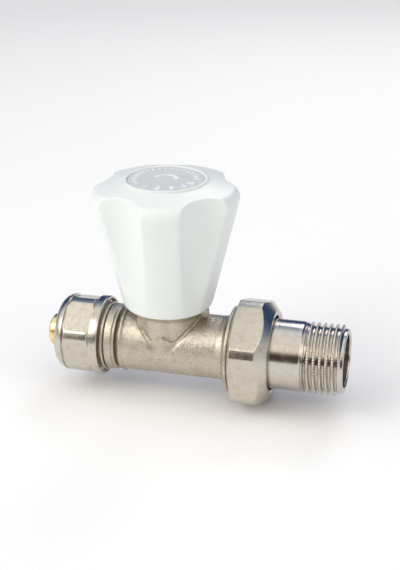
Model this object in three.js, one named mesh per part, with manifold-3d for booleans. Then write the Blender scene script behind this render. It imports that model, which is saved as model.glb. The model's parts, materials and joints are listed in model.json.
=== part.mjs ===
// Straight manual radiator valve: compression inlet on the left, union tailpiece on the right, and a
// five-lobed numbered handwheel on top. Millimetres, +Z up. Each piece is drawn about the point where the
// pipe axis (X) crosses the spindle axis (Z), and at the end the whole valve is moved so that the origin is
// at the bottom centre of its bounding box. Stored closed: the disc is on its seat, the handwheel lowest.
import * as THREE from "three";
import { mergeVertices } from "three/addons/utils/BufferGeometryUtils.js";
import Module from "manifold-3d";

const wasm = await Module();
wasm.setup();

// Driving dimensions.
const slip = 0.15; // radial clearance between a piece and the bore it runs in
const segments = 30; // round sides of an outer piece
const innerSegments = 18; // round sides of a piece hidden inside
const tubeRadius = 9.55; // cast tube of the body
const seatHeight = 2.4; // top of the seat rim
const seatBore = 4.6;
const neckTop = 13.2;
const neckBore = 8.3;
const inletMouth = -25.6; // left end of the body, where the pipe insert enters
const inletBore = 6.35;
const inletThreadRadius = 10; // male thread under the compression nut, pitch 1.5
const outletMouth = 28.2; // right end of the body, where the tailpiece enters
const outletBore = 9.6;
const unionThreadRadius = 13.22; // G3/4 male thread under the union nut
const pipeRadius = 7; // the 14 mm pipe that the inlet grips
const tailThreadRadius = 10.48; // G1/2 male thread of the tailpiece
const tailThreadPitch = 1.814;
const tailEnd = 53.7;
const stemRadius = 3.5;
const spindleThreadRadius = 4.9;
const spindleThreadBore = 5.05;
const hexRoot = Math.sqrt(3) / 2; // across flats over across corners, halved

const wheel = {
  bottom: 13.1, // lower rim
  rimRadius: 13.6,
  rimHeight: 14.8,
  shoulderRadius: 21.4,
  shoulderHeight: 46.2,
  shoulderRounding: 3.3,
  top: 51.7,
  topRadius: 12.06, // outside of the raised ring round the dial
  lobes: 5,
  firstLobe: -77.8, // direction of one lobe's middle, degrees from +X
  fluteAxis: 22.8, // distance of each flute's axis from the spindle axis, at the height of the pipe
  fluteLean: 0.11, // growth of that distance with height
  fluteRadius: 11,
  fluteSoftness: 1.1, // how far the flute's edge is rounded over
  around: 60, // faces round the outside
  sideHeights: [20, 28, 36, 42],
  shoulderAngles: [-12, 15, 42, 69],
  crown: [13.6, 50.6],
  crownDrop: 0.5,
  hollow: [[11.9, 24], [13.2, 42], [12.4, 44.4]], // inside of the shell
};

const dial = { radius: 10.9, bottom: 49.9, top: 51.5, hollowRadius: 7, hollowDepth: 0.5 };
const hub = { radius: 5.6, bottom: 35.2, top: 45, holeRadius: 2.2, counterbore: 4.6, counterboreFloor: 45.6 };
const washer = { bore: 1.9, radius: 4.2, bottom: 45.7, top: 46.4 };
const wheelScrew = {
  headRadius: 3.7,
  head: 46.5,
  top: 48.8,
  tip: 38,
  crossHalf: 2.4,
  crossThin: 0.4,
  crossFloor: 47.6,
};

const finishes = {
  nickel: { color: 0xc9c2b4, roughness: 0.3, metalness: 1 },
  castNickel: { color: 0xb9b2a6, roughness: 0.5, metalness: 1 },
  brass: { color: 0xd8b25f, roughness: 0.3, metalness: 1 },
  steel: { color: 0xb4b6b8, roughness: 0.35, metalness: 1 },
  whitePlastic: { color: 0xe9edea, roughness: 0.35, metalness: 0 },
  greyPlastic: { color: 0xc9c9cf, roughness: 0.45, metalness: 0 },
  blackRubber: { color: 0x1b1b1c, roughness: 0.8, metalness: 0 },
  sealWhite: { color: 0xe4e2da, roughness: 0.6, metalness: 0 },
  fibre: { color: 0x8a5a3c, roughness: 0.8, metalness: 0 },
};

// Shape helpers: each returns a manifold-3d solid.

function solidOf(geometry) {
  const bare = geometry.index ? geometry.toNonIndexed() : geometry.clone();
  bare.deleteAttribute("normal");
  bare.deleteAttribute("uv");
  const merged = mergeVertices(bare, 1e-4);
  return new wasm.Manifold(new wasm.Mesh({
    numProp: 3,
    vertProperties: merged.attributes.position.array,
    triVerts: new Uint32Array(merged.index.array),
  }));
}

// Turns a closed outline of [radius, height] points about Z. The outline runs up on its outside.
function turned(outline, sides = segments) {
  const points = [...outline, outline[0]].map(([radius, height]) => new THREE.Vector2(radius, height));
  return solidOf(new THREE.LatheGeometry(points, sides).rotateX(Math.PI / 2));
}

// The same about the pipe axis: outline points are [radius, x].
function turnedAlongX(outline, sides = segments) {
  const points = [...outline, outline[0]].map(([radius, x]) => new THREE.Vector2(radius, x));
  return solidOf(new THREE.LatheGeometry(points, sides).rotateZ(-Math.PI / 2));
}

// A plain tube or rod between two heights; inner radius 0 makes a rod.
function ringOutline(inner, outer, low, high) {
  return [[inner, low], [outer, low], [outer, high], [inner, high]];
}

function tubeZ(inner, outer, low, high, sides = segments) {
  return turned(ringOutline(inner, outer, low, high), sides);
}

function tubeX(inner, outer, low, high, sides = segments) {
  return turnedAlongX(ringOutline(inner, outer, low, high), sides);
}

// Hexagonal prism along Z; turn is the direction of one corner in radians.
function hexZ(acrossFlats, low, high, turn = 0) {
  const corner = acrossFlats / 2 / hexRoot;
  const outline = new THREE.Shape();
  for (let side = 0; side < 6; side += 1) {
    const angle = turn + side * Math.PI / 3;
    outline[side ? "lineTo" : "moveTo"](corner * Math.cos(angle), corner * Math.sin(angle));
  }
  outline.closePath();
  return solidOf(new THREE.ExtrudeGeometry(outline, { depth: high - low, bevelEnabled: false }).translate(0, 0, low));
}

// Hexagonal prism along X; lift is the height angle of one corner above the -Y direction, in degrees.
function hexX(acrossFlats, low, high, lift) {
  const corner = acrossFlats / 2 / hexRoot;
  const outline = new THREE.Shape();
  for (let side = 0; side < 6; side += 1) {
    const angle = THREE.MathUtils.degToRad(180 - lift) + side * Math.PI / 3;
    outline[side ? "lineTo" : "moveTo"](corner * Math.cos(angle), corner * Math.sin(angle));
  }
  outline.closePath();
  const prism = new THREE.ExtrudeGeometry(outline, { depth: high - low, bevelEnabled: false });
  const turnedPrism = prism.rotateX(Math.PI / 2).rotateZ(Math.PI / 2);
  return solidOf(turnedPrism.translate(low, 0, 0));
}

function box(low, high) {
  const size = high.map((value, axis) => value - low[axis]);
  const centre = high.map((value, axis) => (value + low[axis]) / 2);
  return solidOf(new THREE.BoxGeometry(...size).translate(...centre));
}

// A round-section ring about Z, or about X when alongX is set.
function oRing(centreRadius, sectionRadius, position, alongX = false) {
  const ring = new THREE.TorusGeometry(centreRadius, sectionRadius, 5, innerSegments);
  if (alongX) {
    return solidOf(ring.rotateY(Math.PI / 2).translate(position, 0, 0));
  }
  return solidOf(ring.translate(0, 0, position));
}

function joined(...solids) {
  return solids.reduce((whole, solid) => whole.add(solid));
}

function cut(solid, ...tools) {
  return tools.reduce((rest, tool) => rest.subtract(tool), solid);
}

// Body: a cast straight tube with a neck on top and a seat inside.
const body = {
  neckRadius: 9.5,
  neckOffset: 0.3, // the cast neck stands a little to the right of the spindle axis
  ridge: { left: -11.8, right: 12.4, bottom: 6, top: 12.2, half: 0.6 }, // on the mould's parting plane
  plate: [-0.4, 1.6], // heights of the wall that carries the seat
  chamberRadius: 7.8,
  lowerRadius: 6.9,
  lowerEnd: 5.5, // the blind end of the space below the seat
  outletStart: 9,
  passage: 5,
  outletPassage: 7.2,
};

function valveBody() {
  const tubeOutline = [
    [0, inletMouth],
    [inletThreadRadius - 0.7, inletMouth],
    [inletThreadRadius, inletMouth + 0.7],
    [inletThreadRadius, -18.9],
    [10.4, -18.9],
    [10.4, -18],
    [9.3, -18],
    [9.3, -17.8],
    [10, -17.8],
    [10, -15.5],
    [9.6, -15.4],
    [9.6, -15],
    [10.1, -14.9],
    [10.1, -12.2],
    [tubeRadius, -11.5],
    [tubeRadius, 17],
    [10.4, 18.8],
    [12.2, 19.4],
    [12.75, 19.7],
    [12.75, 20.9],
    [unionThreadRadius, 21.2],
    [unionThreadRadius, outletMouth - 0.8],
    [unionThreadRadius - 0.8, outletMouth],
    [0, outletMouth],
  ];
  const neckOutline = [
    [0, -5],
    [8.4, -5],
    [body.neckRadius, 0],
    [body.neckRadius, 10.5],
    [10.4, 11.8],
    [11.2, 12.3],
    [11.3, neckTop],
    [0, neckTop],
  ];
  const lowerSpace = turnedAlongX([
    [0, -9],
    [body.lowerRadius, -9],
    [body.lowerRadius, body.lowerEnd - 3],
    [body.lowerRadius - 1, body.lowerEnd - 1],
    [body.lowerRadius - 3, body.lowerEnd],
    [0, body.lowerEnd],
  ]).intersect(box([-10, -9, -9], [9, 9, body.plate[0]]));
  const upperSpace = tubeX(0, body.outletPassage, 0, body.outletStart + 1)
    .intersect(box([0, -9, body.plate[1]], [body.outletStart + 1, 9, 9]));
  const ridge = box(
    [body.ridge.left, -body.ridge.half, body.ridge.bottom],
    [body.ridge.right, body.ridge.half, body.ridge.top],
  );
  return cut(
    joined(
      turnedAlongX(tubeOutline),
      turned(neckOutline).translate(body.neckOffset, 0, 0),
      ridge,
      arrow(),
    ),
    tubeX(0, inletBore, inletMouth - 1, -20.2),
    tubeX(0, body.passage, -20.5, -9.6),
    tubeX(0, body.passage, -9.8, -8.8).intersect(box([-10, -9, -9], [-8, 9, body.plate[0]])),
    lowerSpace,
    tubeZ(0, seatBore, body.plate[0] - 1, seatHeight + 1, innerSegments),
    tubeZ(seatBore + 1, body.chamberRadius, body.plate[1], seatHeight + 0.1),
    tubeZ(0, body.chamberRadius, seatHeight, 7),
    tubeZ(0, neckBore, 5.5, neckTop + 1),
    upperSpace,
    tubeX(0, body.outletPassage, body.outletStart, 23),
    tubeX(0, outletBore, 22.5, outletMouth + 1),
  );
}

// Raised arrow on the front of the neck that shows the flow direction.
const arrowSize = {
  tail: -3.1,
  neck: 0.2,
  tip: 3.3,
  shaft: 0.8, // half width of the straight part
  head: 1.7, // half width of the head
  middle: [0.5, 4.4], // x and height
  face: -10, // y of the raised face
  depth: 2.2,
};

function arrow() {
  const { tail, tip, neck, shaft, head: barb, middle, face, depth } = arrowSize;
  const outline = new THREE.Shape();
  outline.moveTo(tail, -shaft);
  outline.lineTo(neck, -shaft);
  outline.lineTo(neck, -barb);
  outline.lineTo(tip, 0);
  outline.lineTo(neck, barb);
  outline.lineTo(neck, shaft);
  outline.lineTo(tail, shaft);
  outline.closePath();
  const raised = new THREE.ExtrudeGeometry(outline, { depth, bevelEnabled: false });
  return solidOf(raised.rotateX(Math.PI / 2).translate(middle[0], face + depth, middle[1]));
}

// Headwork: everything between the neck and the handwheel.
const head = {
  sealTop: 13.8,
  flangeTop: 15.1,
  hexTop: 20.2,
  hexSize: 19,
  skirtBottom: 6.5,
  skirtRadius: 8.15,
  skirtBore: 7.3,
  skirtTop: 14.6,
  barrelRadius: 7.4,
  throat: [25.5, 26.7],
  barrelTop: 31.2,
  packingBore: 5.4,
  packingTop: 28.8,
  nutHexBottom: 31.5,
  nutTop: 34.2,
  nutHexSize: 13,
};

function bonnet() {
  const outline = [
    [head.skirtBore, head.skirtBottom],
    [head.skirtRadius, head.skirtBottom],
    [head.skirtRadius, head.sealTop + 0.1],
    [10.9, head.sealTop + 0.1],
    [10.9, head.flangeTop],
    [head.barrelRadius, head.flangeTop],
    [head.barrelRadius, head.barrelTop - 0.4],
    [head.barrelRadius - 0.4, head.barrelTop],
    [head.packingBore, head.barrelTop],
    [head.packingBore, head.throat[1]],
    [stemRadius + slip, head.throat[1]],
    [stemRadius + slip, head.throat[0]],
    [spindleThreadBore, head.throat[0]],
    [spindleThreadBore, head.skirtTop],
    [head.skirtBore, head.skirtTop],
  ];
  const hex = cut(
    hexZ(head.hexSize, head.flangeTop - 0.1, head.hexTop),
    tubeZ(0, head.barrelRadius - 0.5, head.flangeTop - 1, head.hexTop + 1, innerSegments),
  );
  return joined(turned(outline, innerSegments), hex);
}

function bonnetSeal() {
  return tubeZ(head.skirtRadius + slip, 10.8, neckTop + 0.1, head.sealTop, innerSegments);
}

function glandPacking() {
  return tubeZ(stemRadius + 0.1, head.packingBore - 0.1, head.throat[1] + 0.1, head.packingTop, innerSegments);
}

const glandGrooves = [30, 32.6]; // middle heights of the two grooves inside the gland nut
const glandRing = { centre: 4.12, section: 0.55, halfGroove: 0.7, floor: 4.8 };

function glandNut() {
  const bore = stemRadius + slip;
  const outline = [
    [bore, head.packingTop + 0.1],
    [head.packingBore - slip, head.packingTop + 0.1],
    [head.packingBore - slip, head.nutHexBottom],
    [6.2, head.nutHexBottom],
    [6.2, head.nutTop],
    [bore, head.nutTop],
  ];
  for (const height of [...glandGrooves].reverse()) {
    outline.push([bore, height + glandRing.halfGroove]);
    outline.push([glandRing.floor, height + glandRing.halfGroove]);
    outline.push([glandRing.floor, height - glandRing.halfGroove]);
    outline.push([bore, height - glandRing.halfGroove]);
  }
  const hex = cut(
    hexZ(head.nutHexSize, head.nutHexBottom, head.nutTop - 0.5, Math.PI / 6),
    tubeZ(0, 5.8, head.nutHexBottom - 1, head.nutTop + 1, innerSegments),
  );
  return joined(turned(outline, innerSegments), hex);
}

function glandORing(index) {
  return oRing(glandRing.centre, glandRing.section, glandGrooves[index]);
}

// Disc that closes the seat, carried on the spindle's button by a horseshoe clip.
const disc = {
  sealBottom: 2.5,
  sealTop: 4.7,
  sealRadius: 6.1,
  skirtBottom: 3.3,
  radius: 7,
  buttonFloor: 5.7,
  cavity: 3.9,
  clip: [8.5, 9.5],
  clipRadius: 5.8,
  clipBore: 2.8,
  top: 10.5,
  screwHole: 1.5,
  mouthHalf: 3.2, // side opening that the spindle's button enters by
  mouthReach: 8,
  clipGapHalf: 1.9,
};

function discHolder() {
  const outline = [
    [disc.sealRadius + slip, disc.skirtBottom],
    [disc.radius, disc.skirtBottom],
    [disc.radius, disc.top - 0.5],
    [disc.radius - 0.5, disc.top],
    [disc.cavity, disc.top],
    [disc.cavity, disc.buttonFloor + 0.6],
    [disc.screwHole, disc.buttonFloor + 0.6],
    [disc.screwHole, disc.sealTop + 0.1],
    [disc.sealRadius + slip, disc.sealTop + 0.1],
  ];
  const clipSlot = tubeZ(0, disc.clipRadius + 0.2, disc.clip[0] - 0.2, disc.clip[1] + 0.2, innerSegments);
  const clipMouth = box(
    [-disc.mouthHalf, 0, disc.clip[0] - 0.2],
    [disc.mouthHalf, disc.mouthReach, disc.clip[1] + 0.2],
  );
  return cut(turned(outline, innerSegments), clipSlot, clipMouth);
}

function discSeal() {
  return tubeZ(disc.screwHole + slip, disc.sealRadius, disc.sealBottom, disc.sealTop, innerSegments);
}

const discScrewSize = { headRadius: 2.9, bottom: 1.3, shankStart: 2.3, slotHalf: 0.4, slotTop: 1.8 };

function discScrew() {
  const size = discScrewSize;
  const head = tubeZ(0, size.headRadius, size.bottom, disc.sealBottom - 0.1, innerSegments);
  const shank = tubeZ(0, disc.screwHole - 0.1, size.shankStart, disc.buttonFloor + 0.4, innerSegments);
  const slotEnd = size.headRadius + 1.1;
  const slot = box([-slotEnd, -size.slotHalf, size.bottom - 0.1], [slotEnd, size.slotHalf, size.slotTop]);
  return cut(joined(head, shank), slot);
}

function discClip() {
  const ring = tubeZ(disc.clipBore, disc.clipRadius, disc.clip[0], disc.clip[1], innerSegments);
  const opening = box(
    [-disc.clipGapHalf, 0, disc.clip[0] - 1],
    [disc.clipGapHalf, disc.mouthReach, disc.clip[1] + 1],
  );
  return cut(ring, opening);
}

// Spindle: button, thread, stem and the hexagonal drive for the handwheel.
const drive = { bottom: 35, top: 44.4, size: 5.8, socketSize: 6.2, screwHole: 1.6, holeBottom: 36.5 };

function spindle() {
  const outline = [
    [0, disc.buttonFloor + 0.8],
    [3.3, disc.buttonFloor + 0.8],
    [3.6, disc.buttonFloor + 1.1],
    [3.6, disc.clip[0] - 0.3],
    [2.6, disc.clip[0] - 0.3],
    [2.6, 14.2],
    [spindleThreadRadius - 0.6, 15],
    [spindleThreadRadius, 15.6],
    [spindleThreadRadius, 21],
    [spindleThreadRadius - 0.6, 21.6],
    [stemRadius, 21.7],
    [stemRadius, drive.bottom - 0.2],
    [2.9, drive.bottom + 0.2],
    [2.9, drive.top - 0.6],
    [drive.screwHole, drive.top - 0.6],
    [drive.screwHole, drive.holeBottom],
    [0, drive.holeBottom],
  ];
  const hex = cut(
    hexZ(drive.size, drive.bottom, drive.top),
    tubeZ(0, drive.screwHole, drive.holeBottom, drive.top + 1, innerSegments),
    tubeZ(0, 2.5, drive.bottom - 1, drive.holeBottom + 0.2, innerSegments),
  );
  return joined(turned(outline, innerSegments), hex);
}

// Handwheel: a hollow moulding with five lobes, a hub and a recess for the dial plate.
function wheelRadius(height) {
  const w = wheel;
  if (height <= w.rimHeight) {
    const share = (height - w.bottom) / (w.rimHeight - w.bottom);
    return THREE.MathUtils.lerp(w.rimRadius - 1.1, w.rimRadius, Math.sqrt(Math.max(share, 0)));
  }
  const share = (height - w.rimHeight) / (w.shoulderHeight - w.rimHeight);
  return THREE.MathUtils.lerp(w.rimRadius, w.shoulderRadius, share);
}

// The radius of the outside in one direction, with each flute's round cut taken off and its edge softened.
function flutedRadius(radius, angle, height) {
  const w = wheel;
  const pitch = 2 * Math.PI / w.lobes;
  const fromLobe = angle - THREE.MathUtils.degToRad(w.firstLobe);
  const phase = ((fromLobe % pitch) + pitch) % pitch - pitch / 2;
  const axis = w.fluteAxis + w.fluteLean * height;
  const side = axis * Math.sin(phase);
  const inside = w.fluteRadius ** 2 - side ** 2;
  if (inside <= 0) {
    return radius;
  }
  const wall = axis * Math.cos(phase) - Math.sqrt(inside);
  const spread = Math.max(w.fluteSoftness - Math.abs(radius - wall), 0) / w.fluteSoftness;
  return Math.min(radius, wall) - spread ** 2 * w.fluteSoftness / 4;
}

function handwheel() {
  const w = wheel;
  const profile = [];
  for (const height of [w.bottom, w.rimHeight, ...w.sideHeights]) {
    profile.push([wheelRadius(height), height]);
  }
  for (const degrees of w.shoulderAngles) {
    const angle = THREE.MathUtils.degToRad(degrees);
    profile.push([
      w.shoulderRadius - w.shoulderRounding * (1 - Math.cos(angle)),
      w.shoulderHeight + w.shoulderRounding * Math.sin(angle),
    ]);
  }
  profile.push(w.crown, [w.topRadius, w.top - w.crownDrop], [w.topRadius, w.top]);
  const positions = [];
  const faces = [];
  const ringSize = w.around;
  for (const [radius, height] of profile) {
    for (let step = 0; step < ringSize; step += 1) {
      const angle = step * 2 * Math.PI / ringSize;
      const reach = flutedRadius(radius, angle, height);
      positions.push(reach * Math.cos(angle), reach * Math.sin(angle), height);
    }
  }
  const bottomPole = positions.push(0, 0, w.bottom) / 3 - 1;
  const topPole = positions.push(0, 0, w.top) / 3 - 1;
  for (let step = 0; step < ringSize; step += 1) {
    const next = (step + 1) % ringSize;
    for (let ring = 0; ring < profile.length - 1; ring += 1) {
      const low = ring * ringSize;
      const high = low + ringSize;
      faces.push(low + step, low + next, high + next, low + step, high + next, high + step);
    }
    const last = (profile.length - 1) * ringSize;
    faces.push(bottomPole, next, step, topPole, last + step, last + next);
  }
  const shell = new THREE.BufferGeometry();
  shell.setAttribute("position", new THREE.Float32BufferAttribute(positions, 3));
  shell.setIndex(faces);
  const hollow = turned([[0, w.bottom - 1], [w.hollow[0][0], w.bottom - 1], ...w.hollow, [0, drive.top]]);
  const socketed = joined(
    cut(
      tubeZ(0, hub.radius, hub.bottom, hub.top, innerSegments),
      hexZ(drive.socketSize, drive.bottom, drive.top + 0.3),
    ),
    tubeZ(0, hub.radius, drive.top + 0.2, hub.top, innerSegments),
  );
  const screwHole = tubeZ(0, hub.holeRadius, hub.top - 1, hub.top + 1, innerSegments);
  const counterbore = tubeZ(0, hub.counterbore, hub.counterboreFloor, dial.bottom + 0.6, innerSegments);
  const dialRecess = tubeZ(0, dial.radius + slip, dial.bottom - 0.1, w.top + 1);
  return cut(joined(cut(solidOf(shell), hollow), socketed), screwHole, counterbore, dialRecess);
}

function dialPlate() {
  return cut(
    tubeZ(0, dial.radius, dial.bottom, dial.top),
    tubeZ(0, dial.hollowRadius, dial.bottom - 1, dial.bottom + dial.hollowDepth),
  );
}

function handwheelWasher() {
  return tubeZ(washer.bore, washer.radius, washer.bottom, washer.top, innerSegments);
}

function handwheelScrew() {
  const size = wheelScrew;
  const head = tubeZ(0, size.headRadius, size.head, size.top, innerSegments);
  const shank = tubeZ(0, drive.screwHole - 0.1, size.tip, size.head + 0.1, innerSegments);
  const long = size.crossHalf;
  const thin = size.crossThin;
  const cross = joined(
    box([-long, -thin, size.crossFloor], [long, thin, size.top + 0.2]),
    box([-thin, -long, size.crossFloor], [thin, long, size.top + 0.2]),
  );
  return cut(joined(head, shank), cross);
}

// Inlet: insert, seals, split ring and compression nut for a 14 mm pipe.
const inlet = {
  flange: [-27.2, -25.9],
  flangeRadius: 9.3,
  noseEnd: -20.6,
  noseGroove: -23.2,
  spigotEnd: -37.2,
  splitHalf: 0.6,
  spigotRadius: 4.85,
  bore: 3.4,
  spigotGrooves: [-32.7, -30],
  washer: [-28.1, -27.3],
  ringBack: -28.3,
  ringEnd: -33.1,
  ringRadius: 8.3,
};
const spigotORing = { centre: 4.62, section: 0.5, halfGroove: 0.65, floor: 4.05 };
const noseORing = { centre: 5.72, section: 0.54, halfGroove: 0.75, floor: 5.1 };

function grooveOutline(surface, floor, middle, half) {
  return [[surface, middle - half], [floor, middle - half], [floor, middle + half], [surface, middle + half]];
}

function pipeInsert() {
  const spigot = inlet.spigotRadius;
  const nose = inletBore - slip;
  const spigotRelief = inlet.spigotGrooves.flatMap(
    (x) => grooveOutline(spigot, spigotORing.floor, x, spigotORing.halfGroove),
  );
  return turnedAlongX([
    [inlet.bore, inlet.spigotEnd],
    [spigot - 0.6, inlet.spigotEnd],
    [spigot, inlet.spigotEnd + 0.8],
    ...spigotRelief,
    [spigot, inlet.flange[0]],
    [inlet.flangeRadius, inlet.flange[0]],
    [inlet.flangeRadius, inlet.flange[1]],
    [nose, inlet.flange[1]],
    ...grooveOutline(nose, noseORing.floor, inlet.noseGroove, noseORing.halfGroove),
    [nose, inlet.noseEnd - 0.4],
    [nose - 0.4, inlet.noseEnd],
    [inlet.bore, inlet.noseEnd],
  ], innerSegments);
}

function spigotSeal(index) {
  return oRing(spigotORing.centre, spigotORing.section, inlet.spigotGrooves[index], true);
}

function noseSeal() {
  return oRing(noseORing.centre, noseORing.section, inlet.noseGroove, true);
}

function insulatingWasher() {
  return tubeX(inlet.spigotRadius + slip, 9.2, inlet.washer[0], inlet.washer[1], innerSegments);
}

function splitRing() {
  const ring = turnedAlongX([
    [pipeRadius + 0.1, inlet.ringEnd],
    [inlet.ringRadius - 0.7, inlet.ringEnd],
    [inlet.ringRadius, inlet.ringEnd + 0.7],
    [inlet.ringRadius, -31.4],
    [9.5, -29.6],
    [9.6, inlet.ringBack],
    [pipeRadius + 0.1, inlet.ringBack],
  ]);
  const split = box(
    [inlet.ringEnd - 1, pipeRadius - 2, -inlet.splitHalf],
    [inlet.ringBack + 1, pipeRadius + 4, inlet.splitHalf],
  );
  return cut(ring, split);
}

const compressionNutSize = {
  end: -33.4,
  open: -19.3,
  acrossFlats: 22,
  flats: [-30.4, -21.9],
  corner: 12.05,
  lift: 19.3,
};

function compressionNut() {
  const size = compressionNutSize;
  const [left, right] = size.flats;
  const outside = turnedAlongX([
    [0, size.end],
    [9.3, size.end],
    [10.4, -33],
    [11.2, -32.1],
    [11.7, left - 0.3],
    [11.4, left],
    [size.corner, -29.6],
    [size.corner, -22.65],
    [11.4, -22.1],
    [size.corner, right + 0.1],
    [size.corner, size.open - 0.3],
    [11.8, size.open],
    [0, size.open],
  ]);
  const flats = hexX(size.acrossFlats, left, right, size.lift);
  const roundEnds = joined(tubeX(0, 13, size.end - 1, left), tubeX(0, 13, right, size.open + 1));
  const inside = turnedAlongX([
    [0, -34],
    [8.95, -34],
    [8.65, -33],
    [8.65, -31.4],
    [9.95, -29.45],
    [inletThreadRadius + slip, -28.8],
    [inletThreadRadius + slip, -19.9],
    [10.9, -19],
    [0, -19],
  ]);
  return cut(outside.intersect(joined(flats, roundEnds)), inside);
}

// Outlet: tailpiece, its seal and the union nut.
const tail = {
  nose: 22.9,
  bore: 7.4,
  mouthBore: 8,
  collar: [28.5, 30.1],
  collarRadius: 12.6,
  barrelRadius: 10.4,
  lugs: [36, 43], // two lugs in the bore for the fitting key
  lugHalf: 1.3,
  lugInner: 6.3,
  lugOuter: 7.7,
};
const tailORing = { centre: 9, section: 0.48, halfGroove: 0.65, floor: 8.45, middle: 25.3 };

function tailpiece() {
  const nose = outletBore - slip;
  const threads = [];
  for (let x = 41.7; x + tailThreadPitch < 53; x += tailThreadPitch) {
    threads.push([9.4, x], [tailThreadRadius, x + 0.75], [tailThreadRadius, x + 1.05], [9.4, x + 1.8]);
  }
  const outline = [
    [tail.bore, tail.nose],
    [nose - 0.5, tail.nose],
    [nose, tail.nose + 0.5],
    ...grooveOutline(nose, tailORing.floor, tailORing.middle, tailORing.halfGroove),
    [nose, tail.collar[0]],
    [tail.collarRadius, tail.collar[0]],
    [tail.collarRadius, tail.collar[1] - 0.5],
    [tail.collarRadius - 0.5, tail.collar[1]],
    [tail.barrelRadius, tail.collar[1]],
    [tail.barrelRadius, 41],
    ...threads,
    [9.5, 52.9],
    [9.5, tailEnd],
    [tail.mouthBore + 0.4, tailEnd],
    [tail.mouthBore, tailEnd - 0.5],
    [tail.mouthBore, 44],
    [tail.bore, 43.2],
  ];
  const lugs = [
    box([tail.lugs[0], -tail.lugHalf, tail.lugInner], [tail.lugs[1], tail.lugHalf, tail.lugOuter]),
    box([tail.lugs[0], -tail.lugHalf, -tail.lugOuter], [tail.lugs[1], tail.lugHalf, -tail.lugInner]),
  ];
  return joined(turnedAlongX(outline), ...lugs);
}

function tailSeal() {
  return oRing(tailORing.centre, tailORing.section, tailORing.middle, true);
}

const unionNutSize = { left: 21.2, right: 32.4, acrossFlats: 30, corner: 16.5, lift: 21.3 };

function unionNut() {
  const size = unionNutSize;
  const outside = turnedAlongX([
    [0, size.left],
    [14.3, size.left],
    [14.6, 21.6],
    [15.4, 21.7],
    [size.corner, 22.2],
    [size.corner, 29.2],
    [12.7, size.right],
    [0, size.right],
  ]);
  const flats = hexX(size.acrossFlats, size.left - 1, size.right + 1, size.lift);
  const inside = turnedAlongX([
    [0, size.left - 1],
    [13.8, size.left - 1],
    [unionThreadRadius + slip, 21.8],
    [unionThreadRadius + slip, 30.4],
    [11.2, 30.4],
    [11.2, 31.9],
    [11.7, size.right + 0.6],
    [0, size.right + 0.6],
  ]);
  return cut(outside.intersect(flats), inside);
}

// The assembly: one named mesh for each piece.
const pieces = {
  valve_body: [valveBody, "castNickel"],
  bonnet: [bonnet, "brass"],
  bonnet_seal: [bonnetSeal, "fibre"],
  gland_packing: [glandPacking, "sealWhite"],
  gland_nut: [glandNut, "brass"],
  gland_o_ring_lower: [() => glandORing(0), "blackRubber"],
  gland_o_ring_upper: [() => glandORing(1), "blackRubber"],
  disc_holder: [discHolder, "brass"],
  disc_seal: [discSeal, "blackRubber"],
  disc_screw: [discScrew, "brass"],
  disc_clip: [discClip, "steel"],
  spindle: [spindle, "brass"],
  handwheel: [handwheel, "whitePlastic"],
  handwheel_washer: [handwheelWasher, "steel"],
  handwheel_screw: [handwheelScrew, "steel"],
  dial_plate: [dialPlate, "greyPlastic"],
  pipe_insert: [pipeInsert, "brass"],
  insert_o_ring_outer: [() => spigotSeal(0), "blackRubber"],
  insert_o_ring_inner: [() => spigotSeal(1), "blackRubber"],
  insert_body_o_ring: [noseSeal, "blackRubber"],
  insulating_washer: [insulatingWasher, "sealWhite"],
  split_ring: [splitRing, "brass"],
  compression_nut: [compressionNut, "nickel"],
  tailpiece: [tailpiece, "nickel"],
  tailpiece_o_ring: [tailSeal, "blackRubber"],
  union_nut: [unionNut, "nickel"],
};

function meshOf(solid, finish) {
  const result = solid.getMesh();
  const geometry = new THREE.BufferGeometry();
  geometry.setAttribute("position", new THREE.BufferAttribute(new Float32Array(result.vertProperties), 3));
  geometry.setIndex(new THREE.BufferAttribute(new Uint32Array(result.triVerts), 1));
  geometry.computeVertexNormals();
  return new THREE.Mesh(geometry, new THREE.MeshStandardMaterial(finishes[finish]));
}

const radiatorValve = new THREE.Group();
for (const [name, [make, finish]] of Object.entries(pieces)) {
  const mesh = meshOf(make(), finish);
  mesh.name = name;
  radiatorValve.add(mesh);
}
const bounds = new THREE.Box3().setFromObject(radiatorValve, true);
const centre = bounds.getCenter(new THREE.Vector3());
radiatorValve.position.set(-centre.x, -centre.y, -bounds.min.z);

export default radiatorValve;
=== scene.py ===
import itertools
import json
import math

import bmesh
import bpy
import numpy as np
from mathutils import Matrix, Vector


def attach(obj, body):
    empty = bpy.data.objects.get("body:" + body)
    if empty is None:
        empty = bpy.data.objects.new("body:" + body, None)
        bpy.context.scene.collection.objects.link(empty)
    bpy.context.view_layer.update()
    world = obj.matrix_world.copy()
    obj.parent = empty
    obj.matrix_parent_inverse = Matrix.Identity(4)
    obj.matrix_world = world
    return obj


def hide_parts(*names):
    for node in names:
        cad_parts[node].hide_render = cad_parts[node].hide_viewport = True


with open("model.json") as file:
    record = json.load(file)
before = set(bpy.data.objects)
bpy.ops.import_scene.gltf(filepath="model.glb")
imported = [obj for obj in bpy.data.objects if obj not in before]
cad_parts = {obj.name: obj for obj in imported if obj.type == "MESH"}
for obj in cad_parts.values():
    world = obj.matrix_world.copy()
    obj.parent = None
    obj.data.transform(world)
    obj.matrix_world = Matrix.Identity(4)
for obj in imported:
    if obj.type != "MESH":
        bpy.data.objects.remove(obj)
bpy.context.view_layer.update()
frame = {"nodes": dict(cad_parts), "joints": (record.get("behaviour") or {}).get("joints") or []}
print("frame loaded:", len(frame["nodes"]), "nodes")

mm = 0.001
joints = {joint["name"]: joint for joint in frame["joints"]}
spindleSpot = joints["handwheel_turn"]["pos_m"]
pipeSpot = joints["union_nut_turn"]["pos_m"]
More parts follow.
